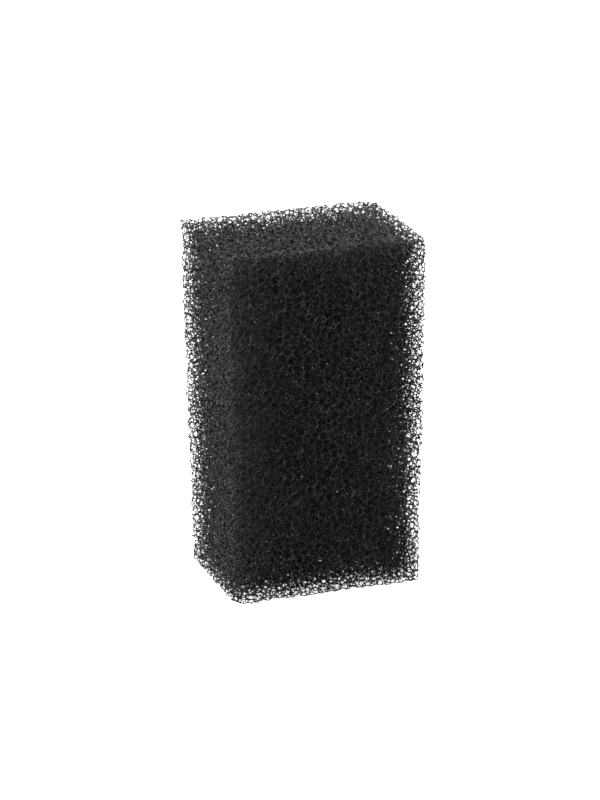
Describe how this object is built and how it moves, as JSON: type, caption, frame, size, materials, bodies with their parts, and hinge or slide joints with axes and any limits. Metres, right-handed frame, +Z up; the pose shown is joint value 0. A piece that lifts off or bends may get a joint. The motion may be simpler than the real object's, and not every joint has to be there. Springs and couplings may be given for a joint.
{
  "type": "sponge filter block",
  "caption": "Rectangular block of coarse open-cell black foam that strains aquarium water and houses filter bacteria; it stands on its small end.",
  "frame": {"origin": "the middle of the block's footprint, on the plane that it stands on", "axes": "+Z up along the block's length, from its foot to its head; +X along the broad faces, from left to right; +Y from the front face to the back face"},
  "size_m": [0.0624, 0.0454, 0.1101],
  "materials": {
    "black_foam": "matte"
  },
  "bodies": {
    "root": {"foam_block": "black_foam"}
  },
  "joints": []
}
